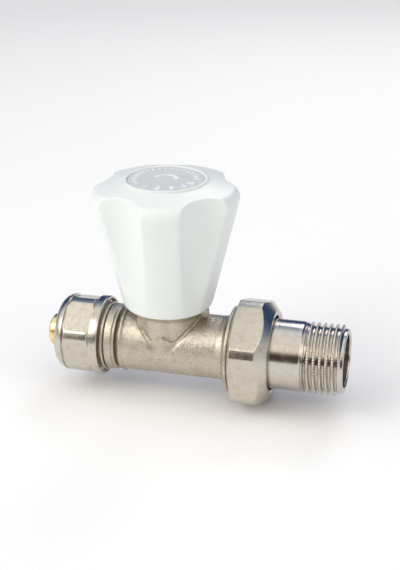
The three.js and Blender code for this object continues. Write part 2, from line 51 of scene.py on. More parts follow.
# every outline below is in millimetres from the point where the pipe axis crosses the spindle axis
crossing = Vector((spindleSpot[0], spindleSpot[1], pipeSpot[2]))
toFrame = Matrix.Translation(crossing) @ Matrix.Scale(mm, 4)
scene = bpy.context.scene


# Node trees: a socket that takes part in ordinary arithmetic, and one method that adds any node

class Signal:
    def __init__(self, graph, socket):
        self.graph = graph
        self.socket = socket

    def __add__(self, other):
        return self.graph.maths("ADD", self, other)

    def __sub__(self, other):
        return self.graph.maths("SUBTRACT", self, other)

    def __mul__(self, other):
        return self.graph.maths("MULTIPLY", self, other)

    def __truediv__(self, other):
        return self.graph.maths("DIVIDE", self, other)

    def __pow__(self, other):
        return self.graph.maths("POWER", self, other)

    def __rtruediv__(self, other):
        return self.graph.maths("DIVIDE", other, self)

    def __neg__(self):
        return self.graph.maths("MULTIPLY", self, -1)


class Graph:
    def __init__(self, tree):
        self.tree = tree

    def plug(self, value, socket):
        if isinstance(value, Signal):
            self.tree.links.new(value.socket, socket)
        else:
            socket.default_value = value

    def add(self, kind, settings=None, sockets=None, out=0):
        # settings are set first; a ramp's stops are its list of (place, colour)
        node = self.tree.nodes.new(kind)
        for name, value in (settings or {}).items():
            if name == "stops":
                ramp = node.color_ramp
                while len(ramp.elements) < len(value):
                    ramp.elements.new(0.5)
                for element, (place, colour) in zip(ramp.elements, value):
                    element.position = place
                    element.color = (*colour, 1)
            else:
                setattr(node, name, value)
        for name, value in (sockets or {}).items():
            self.plug(value, node.inputs[name])
        return Signal(self, node.outputs[out])

    def maths(self, operation, *values):
        sockets = dict(enumerate(values))
        return self.add("ShaderNodeMath", {"operation": operation}, sockets)

    def vector(self, operation, *values, out=0):
        sockets = dict(enumerate(values))
        return self.add("ShaderNodeVectorMath", {"operation": operation}, sockets, out)

    def split(self, value):
        parts = self.add("ShaderNodeSeparateXYZ", None, {0: value})
        return [Signal(self, socket) for socket in parts.socket.node.outputs]

    def join(self, x, y, z):
        return self.add("ShaderNodeCombineXYZ", None, {0: x, 1: y, 2: z})

    def mix(self, factor, first, second):
        settings = {"data_type": "RGBA"}
        return self.add("ShaderNodeMix", settings, {0: factor, 6: first, 7: second}, 2)

    def noise(self, place, scale, detail=3.0, rough=0.5):
        sockets = {"Vector": place, "Scale": scale, "Detail": detail, "Roughness": rough}
        return self.add("ShaderNodeTexNoise", None, sockets)

    def stretch(self, value, low, high):
        # 0 at low and 1 at high, held there beyond
        sockets = {0: value, 1: low, 2: high}
        return self.add("ShaderNodeMapRange", {"interpolation_type": "SMOOTHSTEP"}, sockets)

    def millimetres(self):
        # Object coordinates in millimetres from the axes' crossing
        spot = self.add("ShaderNodeTexCoord", None, None, "Object")
        moved = self.vector("SUBTRACT", spot, tuple(crossing))
        return self.vector("MULTIPLY", moved, (1 / mm, 1 / mm, 1 / mm))

    def bump(self, height, distance, strength=1.0):
        sockets = {"Height": height, "Distance": distance * mm, "Strength": strength}
        return self.add("ShaderNodeBump", None, sockets)


def makeMaterial(name, fixed, build):
    made = bpy.data.materials.new(name)
    made.use_nodes = True
    tree = made.node_tree
    tree.nodes.clear()
    output = tree.nodes.new("ShaderNodeOutputMaterial")
    shader = tree.nodes.new("ShaderNodeBsdfPrincipled")
    tree.links.new(shader.outputs[0], output.inputs[0])
    for socket, value in fixed.items():
        shader.inputs[socket].default_value = value
    graph = Graph(tree)
    for socket, value in build(graph, graph.millimetres()).items():
        graph.plug(value, shader.inputs[socket])
    return made


# Camera, lights and floor

cameraSettings = {
    "azimuth": 15.445,
    "elevation": 23.689,
    "roll": -0.731,
    "distance": 335.704,  # mm from the point it looks at
    "lookAt": (9.743, 0.0, 19.578),
    "lens": 72.445,
    "sensor": 36.0,
}


def makeCamera(settings):
    azimuth = math.radians(settings["azimuth"])
    elevation = math.radians(settings["elevation"])
    roll = math.radians(settings["roll"])
    back = Vector((
        math.sin(azimuth) * math.cos(elevation),
        -math.cos(azimuth) * math.cos(elevation),
        math.sin(elevation),
    ))
    right = Vector((math.cos(azimuth), math.sin(azimuth), 0))
    up = back.cross(right)
    rightRolled = right * math.cos(roll) + up * math.sin(roll)
    upRolled = up * math.cos(roll) - right * math.sin(roll)
    place = crossing + (Vector(settings["lookAt"]) + back * settings["distance"]) * mm
    data = bpy.data.cameras.new("camera")
    data.lens = settings["lens"]
    data.sensor_width = settings["sensor"]
    data.clip_start = 0.01
    camera = bpy.data.objects.new("camera", data)
    turn = Matrix((rightRolled, upRolled, back)).transposed().to_4x4()
    camera.matrix_world = Matrix.Translation(place) @ turn
    scene.collection.objects.link(camera)
    scene.camera = camera


skySettings = {
    "strength": 1.08,
    # degrees of the direction round the tube's axis, 0 level in front and 180 level behind
    "bands": [
        (-180, (0.10, 0.12, 0.18)),
        (-172, (0.80, 0.77, 0.75)),
        (-4, (0.80, 0.76, 0.73)),
        (1, (0.06, 0.04, 0.03)),
        (24, (0.05, 0.035, 0.025)),
        (36, (0.92, 0.83, 0.72)),
        (70, (0.99, 0.96, 0.92)),
        (106, (0.97, 0.98, 1.00)),
        (124, (0.22, 0.32, 0.50)),
        (140, (0.02, 0.05, 0.15)),
        (180, (0.03, 0.07, 0.18)),
    ],
    "backdrop": (0.80, 0.80, 0.81),  # what stands behind the object where the floor ends
}
lightSettings = {
    # name: place in mm, side in mm, watts, colour
    "keyLight": ((-420, -420, 380), 560, 2.2, (0.98, 1.0, 0.99)),
    "fillLight": ((420, -260, 260), 460, 0.3, (0.95, 0.98, 1.0)),
    "rimLight": ((60, 480, 420), 300, 0.7, (1.0, 0.98, 0.95)),
}
floorSettings = {
    "half": 6000,
    "colour": (0.96, 0.955, 0.95),
    "lighter": (0.97, 0.965, 0.96),
    "roughness": 0.6,
}


def makeSky(settings):
    world = bpy.data.worlds.new("sky")
    scene.world = world
    world.use_nodes = True
    graph = Graph(world.node_tree)
    background = world.node_tree.nodes["Background"]
    direction = graph.add("ShaderNodeTexCoord", None, None, "Generated")
    _, depth, height = graph.split(direction)
    turn = graph.maths("ARCTAN2", height, -depth) / (2 * math.pi) + 0.5
    stops = [(degrees / 360 + 0.5, colour) for degrees, colour in settings["bands"]]
    colour = graph.add("ShaderNodeValToRGB", {"stops": stops}, {"Fac": turn})
    direct = graph.add("ShaderNodeLightPath", None, None, "Is Camera Ray")
    colour = graph.mix(direct, colour, (*settings["backdrop"], 1))
    graph.plug(colour, background.inputs["Color"])
    background.inputs["Strength"].default_value = settings["strength"]


def makeLights(settings):
    for name, (place, side, watts, colour) in settings.items():
        data = bpy.data.lights.new(name, "AREA")
        data.shape = "DISK"
        data.size = side * mm
        data.energy = watts
        data.color = colour
        light = bpy.data.objects.new(name, data)
        light.location = crossing + Vector(place) * mm
        light.rotation_euler = (-Vector(place)).to_track_quat("-Z", "Y").to_euler()
        scene.collection.objects.link(light)


def makeFloor(settings):
    half = settings["half"] * mm
    mesh = bpy.data.meshes.new("floor")
    corners = [(-half, -half, 0), (half, -half, 0), (half, half, 0), (-half, half, 0)]
    mesh.from_pydata(corners, [], [(0, 1, 2, 3)])
    floor = bpy.data.objects.new("floor", mesh)
    scene.collection.objects.link(floor)

    def paper(graph, place):
        grain = graph.noise(place, 0.8)
        tint = graph.mix(grain, (*settings["colour"], 1), (*settings["lighter"], 1))
        return {"Base Color": tint, "Roughness": grain * 0.1 + settings["roughness"]}

    mesh.materials.append(makeMaterial("paleFloor", {}, paper))


makeCamera(cameraSettings)
makeSky(skySettings)
makeLights(lightSettings)
makeFloor(floorSettings)
scene.view_settings.view_transform = "Standard"
print("camera, lights and floor made")


# Materials

def turnedLines(graph, place, alongX=True):
    # rings left by the tool: they follow the radius on a face and the length on a barrel
    x, y, z = graph.split(place)
    if alongX:
        along, across = x, graph.vector("LENGTH", graph.join(0.0, y, z), out="Value")
    else:
        along, across = z, graph.vector("LENGTH", graph.join(x, y, 0.0), out="Value")
    track = graph.join(along * 5.0 + across * 5.0, y * 0.12, z * 0.12)
    fine = graph.noise(track, 2.2, 2.0)
    broad = graph.noise(track, 0.35, 2.0)
    return fine, broad


platingSettings = {
    "cast": {
        "light": (0.60, 0.55, 0.46, 1),
        "dark": (0.27, 0.22, 0.16, 1),
        "roughness": 0.3,
    },
    "nut": {
        "light": (0.63, 0.59, 0.52, 1),
        "dark": (0.40, 0.35, 0.28, 1),
        "roughness": 0.16,
        "grain": 3.5,  # share of the speckle in the bump
    },
    "tail": {
        "light": (0.63, 0.59, 0.54, 1),
        "dark": (0.46, 0.41, 0.36, 1),
        "roughness": 0.11,
        "grain": 1,
    },
}


def castNickel(graph, place):
    settings = platingSettings["cast"]
    sand = graph.noise(place, 2.6, 3.0, 0.6)
    lumps = graph.noise(place, 0.9, 2.0)
    stain = graph.stretch(graph.noise(place, 0.3, 3.0), 0.4, 0.75)
    pits = graph.stretch(sand, 0.5, 0.28)
    tint = graph.mix(stain * 0.25 + pits * 0.7, settings["light"], settings["dark"])
    height = sand + lumps * 0.8
    rough = stain * 0.05 + sand * 0.10 + settings["roughness"]
    return {"Base Color": tint, "Roughness": rough, "Normal": graph.bump(height, 0.13)}


def platedTurned(kind):
    settings = platingSettings[kind]

    def build(graph, place):
        fine, broad = turnedLines(graph, place)
        cloud = graph.stretch(graph.noise(place, 0.5, 3.0), 0.4, 0.8)
        speckle = graph.noise(place, 2.6, 3.0, 0.6)
        pits = graph.stretch(speckle, 0.5, 0.3)
        worn = cloud * 0.3 + fine * 0.15 + pits * 0.35
        tint = graph.mix(worn, settings["light"], settings["dark"])
        rough = cloud * 0.08 + speckle * 0.10 + settings["roughness"]
        height = fine + broad * 0.8 + speckle * settings["grain"]
        return {"Base Color": tint, "Roughness": rough, "Normal": graph.bump(height, 0.012)}

    return build


def turnedBrass(alongX):
    def build(graph, place):
        fine, broad = turnedLines(graph, place, alongX)
        tarnish = graph.stretch(graph.noise(place, 0.35, 4.0), 0.4, 0.75)
        tint = graph.mix(tarnish * 0.7, (0.86, 0.68, 0.34, 1), (0.62, 0.42, 0.19, 1))
        rough = tarnish * 0.2 + fine * 0.1 + 0.18
        return {"Base Color": tint, "Roughness": rough, "Normal": graph.bump(fine + broad, 0.012)}

    return build


def wheelPlastic(graph, place):
    peel = graph.noise(place, 0.9, 2.0)
    grain = graph.noise(place, 9.0, 3.0)
    cloud = graph.noise(place, 0.12, 2.0)
    tint = graph.mix(cloud, (0.81, 0.86, 0.84, 1), (0.85, 0.885, 0.87, 1))
    rough = grain * 0.08 + peel * 0.06 + 0.26
    return {"Base Color": tint, "Roughness": rough, "Normal": graph.bump(peel + grain * 0.1, 0.02)}


def dialPlastic(graph, place):
    grain = graph.noise(place, 7.0, 3.0)
    cloud = graph.noise(place, 0.3, 2.0)
    tint = graph.mix(cloud, (0.60, 0.61, 0.63, 1), (0.66, 0.67, 0.69, 1))
    return {"Base Color": tint, "Roughness": grain * 0.15 + 0.4, "Normal": graph.bump(grain, 0.01)}


def markPaint(graph, place):
    grain = graph.noise(place, 5.0, 3.0)
    tint = graph.mix(grain, (0.86, 0.87, 0.88, 1), (0.93, 0.94, 0.94, 1))
    rough = grain * 0.15 + 0.35
    return {"Base Color": tint, "Roughness": rough, "Normal": graph.bump(grain, 0.008)}


def sealRubber(graph, place):
    grain = graph.noise(place, 6.0, 4.0)
    dust = graph.stretch(graph.noise(place, 0.8, 3.0), 0.5, 0.8)
    tint = graph.mix(dust, (0.015, 0.015, 0.016, 1), (0.05, 0.05, 0.052, 1))
    return {"Base Color": tint, "Roughness": grain * 0.2 + 0.45, "Normal": graph.bump(grain, 0.02)}


def sealPlastic(graph, place):
    grain = graph.noise(place, 4.0, 3.0)
    tint = graph.mix(grain, (0.82, 0.80, 0.74, 1), (0.90, 0.89, 0.85, 1))
    return {"Base Color": tint, "Roughness": grain * 0.2 + 0.4, "Normal": graph.bump(grain, 0.015)}


def zincSteel(graph, place):
    fine, _ = turnedLines(graph, place, False)
    cloud = graph.noise(place, 0.6, 3.0)
    tint = graph.mix(cloud, (0.60, 0.61, 0.63, 1), (0.74, 0.74, 0.73, 1))
    return {"Base Color": tint, "Roughness": fine * 0.15 + 0.25, "Normal": graph.bump(fine, 0.012)}


def fibreSeal(graph, place):
    strands = graph.noise(graph.vector("MULTIPLY", place, (1.0, 1.0, 6.0)), 3.0, 5.0, 0.7)
    tint = graph.mix(strands, (0.26, 0.13, 0.08, 1), (0.48, 0.29, 0.19, 1))
    rough = strands * 0.2 + 0.7
    return {"Base Color": tint, "Roughness": rough, "Normal": graph.bump(strands, 0.05)}


metal = {"Metallic": 1.0}
finish = {
    "castNickel": makeMaterial("castNickel", metal, castNickel),
    "nutNickel": makeMaterial("nutNickel", metal, platedTurned("nut")),
    "tailNickel": makeMaterial("tailNickel", metal, platedTurned("tail")),
    "brassAcross": makeMaterial("brassAcross", metal, turnedBrass(True)),
    "brassUpright": makeMaterial("brassUpright", metal, turnedBrass(False)),
    "wheelPlastic": makeMaterial("wheelPlastic", {"IOR": 1.48}, wheelPlastic),
    "dialPlastic": makeMaterial("dialPlastic", {"IOR": 1.46}, dialPlastic),
    "markPaint": makeMaterial("markPaint", {"IOR": 1.46}, markPaint),
    "sealRubber": makeMaterial("sealRubber", {"IOR": 1.5}, sealRubber),
    "sealPlastic": makeMaterial("sealPlastic", {"IOR": 1.4}, sealPlastic),
    "zincSteel": makeMaterial("zincSteel", metal, zincSteel),
    "fibreSeal": makeMaterial("fibreSeal", {}, fibreSeal),
}
print("materials made:", len(finish))


# Mesh tools: outlines are lists of (radius, along) or (radius, along, corner radius), in mm

def rounded(outline, corner, closed=True, steps=4):
    points = [(*point, corner)[:3] for point in outline]
    count = len(points)
    result = []
    for index, (radius, along, size) in enumerate(points):
        isEnd = not closed and index in (0, count - 1)
        here = Vector((radius, along))
        before = Vector(points[index - 1][:2]) - here
        after = Vector(points[(index + 1) % count][:2]) - here
        turn = math.pi - before.angle(after) if not isEnd else 0
        if isEnd or turn < math.radians(8) or size <= 0:
            result.append((radius, along))
            continue
        reach = min(size * math.tan(turn / 2), 0.42 * before.length, 0.42 * after.length)
        first = here + before.normalized() * reach
        last = here + after.normalized() * reach
        for step in range(steps + 1):
            share = step / steps
            spot = first * (1 - share) ** 2 + here * 2 * share * (1 - share) + last * share ** 2
            result.append(tuple(spot))
    return result


def split(outline, longest, closed=True, finer=()):
    # cuts long sides so that no row is wider than longest; finer holds (start, end, step) stretches
    result = []
    count = len(outline)
    for index in range(count if closed else count - 1):
        first = np.array(outline[index])
        second = np.array(outline[(index + 1) % count])
        step = longest
        middle = (first[1] + second[1]) / 2
        for start, end, fine in finer:
            if start <= middle <= end:
                step = fine
        parts = max(1, math.ceil(np.linalg.norm(second - first) / step))
        result += [tuple(first + (second - first) * part / parts) for part in range(parts)]
    if not closed:
        result.append(tuple(outline[-1]))
    return result


def spin(outline, columns, alongX, closed=True, shape=None):
    # turns an outline into (points, faces); an open outline starts and ends on the axis
    rows = outline if closed else outline[1:-1]
    radius = np.array([row[0] for row in rows])[:, None]
    along = np.array([row[1] for row in rows])[:, None]
    theta = np.arange(columns)[None, :] * 2 * math.pi / columns
    radius, along, theta = np.broadcast_arrays(radius, along, theta)
    if shape:
        radius = shape(radius, along, theta)
    side, lift = radius * np.cos(theta), radius * np.sin(theta)
    grid = [along, side, lift] if alongX else [side, lift, along]
    points = np.stack(grid, axis=-1).reshape(-1, 3)
    index = np.arange(len(rows) * columns).reshape(len(rows), columns)
    lower = index if closed else index[:-1]
    upper = np.roll(index, -1, axis=0) if closed else index[1:]
    ring = [lower, np.roll(lower, -1, axis=1), np.roll(upper, -1, axis=1), upper]
    faces = np.stack(ring, axis=-1).reshape(-1, 4).tolist()
    if not closed:
        poles = [(index[0], outline[0][1], True), (index[-1], outline[-1][1], False)]
        for row, place, flip in poles:
            pole = len(points)
            points = np.vstack([points, [place, 0, 0] if alongX else [0, 0, place]])
            ends = zip(row.tolist(), np.roll(row, -1).tolist())
            faces += [(pole, b, a) if flip else (pole, a, b) for a, b in ends]
    return points, faces


def meshOf(name, points, faces):
    mesh = bpy.data.meshes.new(name)
    mesh.from_pydata(np.asarray(points).tolist(), [], faces)
    tidy = bmesh.new()
    tidy.from_mesh(mesh)
    bmesh.ops.remove_doubles(tidy, verts=tidy.verts, dist=1e-4)
    bmesh.ops.recalc_face_normals(tidy, faces=tidy.faces)
    tidy.to_mesh(mesh)
    tidy.free()
    mesh.shade_smooth()
    piece = bpy.data.objects.new(name, mesh)
    scene.collection.objects.link(piece)
    return piece


def applied(piece, name=None):
    # the evaluated mesh of a piece, with its modifiers taken into it
    evaluated = piece.evaluated_get(bpy.context.evaluated_depsgraph_get())
    mesh = bpy.data.meshes.new_from_object(evaluated)
    old = piece.data
    piece.modifiers.clear()
    piece.data = mesh
    bpy.data.meshes.remove(old)
    mesh.name = name or piece.name
    return piece


def carve(piece, tools, operation="DIFFERENCE"):
    for tool in tools:
        modifier = piece.modifiers.new("carve", "BOOLEAN")
        modifier.object = tool
        modifier.operation = operation
        modifier.solver = "MANIFOLD"
    applied(piece)
    for tool in tools:
        bpy.data.objects.remove(tool)
    return piece


def finishPiece(piece, body, node, material, sharp=None):
    # from millimetres at the crossing to its place in the frame, then its material and its body
    piece.data.transform(toFrame)
    if sharp:
        piece.data.set_sharp_from_angle(angle=math.radians(sharp))
    piece.data.materials.clear()
    piece.data.materials.append(finish[material])
    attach(piece, body)
    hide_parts(*([node] if isinstance(node, str) else node))
    return piece


def hexShape(acrossFlats, lift, start, end, soft):
    # a radius held inside a hexagon between two places; lift is one corner's height angle over -Y
    corner = math.pi - math.radians(lift)

    def shape(radius, along, theta):
        phase = np.mod(theta - corner, math.pi / 3) - math.pi / 6
        wall = acrossFlats / 2 / np.cos(phase)
        spread = np.clip(soft - np.abs(radius - wall), 0, None) / soft
        held = np.minimum(radius, wall) - spread ** 2 * soft / 4
        return np.where((along >= start) & (along <= end), held, radius)

    return shape


def threadShape(start, end, pitch, root, notches=0, bite=0.0):
    # a right-hand helical ridge between root and the outline's own radius
    def shape(radius, along, theta):
        phase = np.mod(along / pitch - theta / (2 * math.pi), 1)
        ridge = np.clip((1 - np.abs(2 * phase - 1) - 0.1) / 0.75, 0, 1)
        ridge = ridge * ridge * (3 - 2 * ridge)
        inside = np.clip(np.minimum(along - start, end - along) / (0.5 * pitch), 0, 1)
        threaded = root + (radius - root) * ridge
        crest = np.clip((ridge - 0.75) / 0.25, 0, 1)
        if notches:
            threaded = threaded - bite * crest * (0.5 + 0.5 * np.sin(notches * theta)) ** 3
        return np.where(radius > root, radius + (threaded - radius) * inside, radius)

    return shape


# Valve body: a cast tube and neck between two turned ends, with the seat and passages inside

bodySettings = {
    "voxel": 0.22,  # mesh size of the cast skin
    "crease": 0.12,  # how softly the neck runs into the tube
    "edge": 0.25,  # roundness of the cast skin's cut edges
    "seamWidth": 0.5,  # the groove left where the neck meets the tube
    "seamDepth": 0.4,
    "seamReach": 0.6,  # how far from both surfaces the groove goes on
    "castEnds": (-15.0, 19.75),
    "neckBottom": -1.5,
    "neckBottomSoft": 0.5,
    "neckTop": 13.2,
    "tube": [
        (-15.5, 10.1), (-12.7, 10.1), (-12.1, 9.6), (-11.2, 9.55), (16.6, 9.55), (18.2, 9.9),
        (18.9, 10.6), (19.3, 12.2), (19.6, 12.75),
    ],
    "tubeEnd": 12.7,  # radius at the right end of the cast tube
    "neck": [(-2, 9.3), (0, 9.5), (10.5, 9.6), (11.8, 10.4), (12.3, 11.2), (13.4, 11.3)],
    "neckEnd": 11.3,
    "neckOffset": 0.3,  # the cast neck stands a little to the right of the spindle axis
    "ridge": ((-11.8, -0.5, 6.0), (12.4, 0.5, 12.2)),  # along the parting plane of the mould
    "ridgeSoft": 0.3,
    "arrow": [
        (-3.1, -0.8), (0.2, -0.8), (0.2, -1.7), (3.3, 0.0), (0.2, 1.7), (0.2, 0.8), (-3.1, 0.8),
    ],
    "arrowSpot": (0.5, 4.4),  # x and z of the arrow's middle on the neck's front
    "arrowRadius": 10.35,  # from the neck's axis to its raised face
    "arrowBack": -4,  # y where the arrow ends, inside the neck
    "arrowRoot": -6,  # y where its block in the first skin ends
    "arrowSoft": 0.1,
    "settling": 12,  # rounds that bring the voxel skin onto the exact form
    "probe": 0.02,
    "longestMove": 0.15,
    "columns": 180,
    "leftEnd": [
        (0, -25.6), (9.2, -25.6), (10.0, -24.9), (10.0, -18.95, 0), (10.4, -18.95), (10.4, -18.05),
        (9.3, -18.0), (9.3, -17.75), (10.0, -17.7), (10.0, -15.55), (9.6, -15.45), (9.6, -14.7),
        (0, -14.7, 0),
    ],
    "leftCorner": 0.16,
    "leftThread": (-25.2, -19.3, 1.5, 9.1),  # start, end, pitch and root radius
    "leftFiner": (-25.6, -18.96, 0.12),  # the stretch with narrow rows
    "rightEnd": [
        (0, 19.4, 0), (12.6, 19.45), (12.75, 19.6), (12.75, 20.35), (12.1, 20.45), (12.1, 20.8),
        (13.22, 21.3), (13.22, 27.4), (12.4, 28.2), (0, 28.2),
    ],
    "rightCorner": 0.12,
    "rightThread": (21.0, 27.9, 1.814, 12.1),
    "rightFiner": (20.6, 28.0, 0.13),
}


def polygonDistance(points, corners):
    # signed distance from 2-D points to a closed outline, negative inside
    best = np.full(len(points), 1e9)
    inside = np.zeros(len(points), bool)
    for first, second in zip(corners, corners[1:] + corners[:1]):
        a, b = np.array(first), np.array(second)
        edge, reach = b - a, points - a
        share = np.clip(reach @ edge / (edge @ edge), 0, 1)
        best = np.minimum(best, np.linalg.norm(reach - share[:, None] * edge, axis=1))
        crosses = (a[1] > points[:, 1]) != (b[1] > points[:, 1])
        slope = edge[0] / (edge[1] if edge[1] else 1e-9)
        inside ^= crosses & (points[:, 0] < a[0] + (points[:, 1] - a[1]) * slope)
    return np.where(inside, -best, best)


def blendMin(first, second, soft):
    spread = np.clip(soft - np.abs(first - second), 0, None) / soft
    return np.minimum(first, second) - spread ** 2 * soft / 4


def blendMax(first, second, soft):
    return -blendMin(-first, -second, soft)


def castDistance(points, settings):
    x, y, z = points.T
    tube = np.hypot(y, z) - np.interp(x, *zip(*settings["tube"]))
    fromNeck = np.hypot(x - settings["neckOffset"], y)
    neck = fromNeck - np.interp(z, *zip(*settings["neck"]))
    neck = blendMax(neck, settings["neckBottom"] - z, settings["neckBottomSoft"])
    seam = np.exp(-((tube - neck) / settings["seamWidth"]) ** 2)
    seam = seam * np.exp(-(np.maximum(tube, neck) / settings["seamReach"]) ** 2)
    skin = blendMin(tube, neck, settings["crease"]) + settings["seamDepth"] * seam
    soft = settings["arrowSoft"]
    spot = np.array(settings["arrowSpot"])
    mark = polygonDistance(np.stack([x, z], axis=1) - spot, settings["arrow"])
    mark = blendMax(mark, fromNeck - settings["arrowRadius"], soft)
    mark = blendMax(mark, y - settings["arrowBack"], soft)
    skin = blendMin(skin, mark, soft)
    low, high = np.array(settings["ridge"])
    ridge = np.max(np.abs(points - (low + high) / 2) - (high - low) / 2, axis=1)
    skin = blendMin(skin, ridge, settings["ridgeSoft"])
    low, high = settings["castEnds"]
    ends = np.maximum(np.maximum(low - x, x - high), z - settings["neckTop"])
    return blendMax(skin, ends, settings["edge"])


def block(name, low, high):
    corners = list(itertools.product(*zip(low, high)))
    faces = [(0, 1, 3, 2), (4, 6, 7, 5), (0, 4, 5, 1), (2, 3, 7, 6), (0, 2, 6, 4), (1, 5, 7, 3)]
    return meshOf(name, corners, faces)


def plate(name, outline, spot, near, far):
    # an x and z outline given depth from near to far along y
    count = len(outline)
    corners = [(x + spot[0], y, z + spot[1]) for y in (near, far) for x, z in outline]
    faces = [tuple(range(count)), tuple(range(2 * count - 1, count - 1, -1))]
    for here in range(count):
        after = (here + 1) % count
        faces.append((here, here + count, after + count, after))
    return meshOf(name, corners, faces)


def castSkin(settings):
    columns = settings["columns"]
    left, right = settings["castEnds"]
    bottom, top = settings["neckBottom"], settings["neckTop"]
    tube = [(radius, x) for x, radius in settings["tube"] if left < x < right]
    tube = [(0, left)] + tube + [(settings["tubeEnd"], right), (0, right)]
    neck = [(radius, z) for z, radius in settings["neck"] if -1 < z < top]
    neck = [(0, bottom)] + neck + [(settings["neckEnd"], top), (0, top)]
    skin = meshOf("tube", *spin(tube, columns, True, closed=False))
    face, root = -settings["arrowRadius"], settings["arrowRoot"]
    carve(skin, [
        meshOf("neck", *spin(neck, columns, False, closed=False)),
        block("ridge", *settings["ridge"]),
        plate("mark", settings["arrow"], settings["arrowSpot"], face, root),
    ], "UNION")
    remesh = skin.modifiers.new("remesh", "REMESH")
    remesh.mode = "VOXEL"
    remesh.voxel_size = settings["voxel"]
    applied(skin, "valve_body_skin")
    # settle every point of the voxel skin onto the exact blended form
    mesh = skin.data
    flat = np.empty(len(mesh.vertices) * 3)
    mesh.vertices.foreach_get("co", flat)
    points = flat.reshape(-1, 3)
    probe, longest = settings["probe"], settings["longestMove"]
    for _ in range(settings["settling"]):
        here = castDistance(points, settings)
        slope = np.stack([
            castDistance(points + offset, settings) - castDistance(points - offset, settings)
            for offset in np.eye(3) * probe
        ], axis=1) / (2 * probe)
        size = np.maximum((slope ** 2).sum(axis=1), 0.2)
        points = points - np.clip(here / size, -longest, longest)[:, None] * slope
    mesh.vertices.foreach_set("co", points.ravel())
    mesh.update()
    return skin


passageSettings = {
    "bores": {
        # name: (radius, start, end, along X)
        "inlet": (6.35, -27, -20.2, True),
        "passage": (5, -20.6, -9.6, True),
        "inletEnd": (5, -9.8, -8.8, True),
        "lower": (6.9, -9, 5.5, True),
        "seat": (4.6, -1.5, 3.5, False),
        "chamber": (7.8, 2.4, 7, False),
        "neckBore": (8.3, 5.5, 14, False),
        "upper": (7.2, 0, 10, True),
        "outlet": (7.2, 9, 23, True),
        "union": (9.6, 22.5, 29, True),
    },
    "kept": {
        # name: low and high corner of the solid that stays inside that bore
        "inletEnd": ((-12, -9, -0.4), (9, 9, 9)),
        "lower": ((-12, -9, -0.4), (9, 9, 9)),
        "upper": ((-2, -9, -9), (12, 9, 1.6)),
    },
    "trough": [(5.4, 1.6), (7.8, 1.6), (7.8, 2.6), (5.0, 2.6), (5.2, 2.2)],  # round the seat
    "troughCorner": 0.3,
    "columns": 96,
}


def passages(settings):
    columns = settings["columns"]
    bores = {}
    for name, (radius, low, high, alongX) in settings["bores"].items():
        outline = [(0, low), (radius, low), (radius, high), (0, high)]
        bores[name] = meshOf(name, *spin(outline, columns, alongX, closed=False))
    for name, corners in settings["kept"].items():
        carve(bores[name], [block("kept", *corners)])
    ring = rounded(settings["trough"], settings["troughCorner"])
    return [*bores.values(), meshOf("trough", *spin(ring, columns, False))]


def threadedEnd(side, settings):
    outline = rounded(settings[side + "End"], settings[side + "Corner"], closed=False)
    rows = split(outline, 1.5, closed=False, finer=[settings[side + "Finer"]])
    shape = threadShape(*settings[side + "Thread"])
    return meshOf(side, *spin(rows, settings["columns"], True, closed=False, shape=shape))


def valveBody(settings):
    ends = [threadedEnd("left", settings), threadedEnd("right", settings)]
    body = carve(castSkin(settings), ends, "UNION")
    carve(body, passages(passageSettings))
    body.name = "body_casting"
    return finishPiece(body, "valve", "valve_body", "castNickel", sharp=40)


valveBody(bodySettings)
print("valve body made")


# Compression nut: a domed end, six flats and a round collar

compressionNutSettings = {
    "outline": [
        (8.65, -31.4), (8.65, -33.05), (8.95, -33.4, 0.1), (9.3, -33.4, 0.25), (10.35, -33.1, 0),
        (11.05, -32.4, 0), (11.5, -31.5, 0), (11.75, -30.65, 0.05), (11.35, -30.45, 0),
        (12.05, -29.6, 0.1), (12.05, -22.65, 0.1), (11.35, -22.0, 0), (12.05, -21.75, 0.05),
        (12.05, -19.65), (11.8, -19.3, 0.1), (11.35, -19.3, 0.1), (11.2, -20.6), (10.15, -21.2),
        (10.15, -28.8), (9.95, -29.45),
    ],
    "acrossFlats": 22.0,
    "lift": 19.3,
    "flats": (-30.42, -21.88),
    "flatsSoft": 0.12,
    "corner": 0.2,
    "columns": 432,
}


def compressionNut(settings):
    outline = rounded(settings["outline"], settings["corner"])
    low, high = settings["flats"]
    finer = [(low - 0.3, low + 0.9, 0.07), (high - 0.9, high + 0.3, 0.07)]
    rows = split(outline, 1.0, finer=finer)
    shape = hexShape(settings["acrossFlats"], settings["lift"], low, high, settings["flatsSoft"])
    nut = meshOf("compression_nut_turned", *spin(rows, settings["columns"], True, shape=shape))
    body = "compression_nut"
    return finishPiece(nut, body, "compression_nut", "nutNickel", sharp=40)


compressionNut(compressionNutSettings)


# Union nut: six flats, a thin lip on the left and a wide chamfer on the right

unionNutSettings = {
    "outline": [
        (13.37, 21.8), (13.8, 21.2, 0.1), (14.2, 21.2, 0.1), (14.5, 21.6, 0.1), (15.4, 21.7, 0.1),
        (16.5, 22.15, 0.15), (16.5, 29.2, 0.1), (12.7, 32.4, 0.5), (11.7, 32.4, 0.2),
        (11.2, 31.9, 0.1), (11.2, 30.4), (13.37, 30.4),
    ],
    "acrossFlats": 30.0,
    "lift": 21.3,
    "flats": (20, 34),
    "flatsSoft": 0.2,
    "corner": 0.2,
    "columns": 480,
}


def unionNut(settings):
    rows = split(rounded(settings["outline"], settings["corner"]), 0.3)
    low, high = settings["flats"]
    shape = hexShape(settings["acrossFlats"], settings["lift"], low, high, settings["flatsSoft"])
    nut = meshOf("union_nut_turned", *spin(rows, settings["columns"], True, shape=shape))
    return finishPiece(nut, "union_nut", "union_nut", "nutNickel", sharp=40)


unionNut(unionNutSettings)


# Tailpiece: nose with a rubber ring, collar, plain barrel and a threaded end

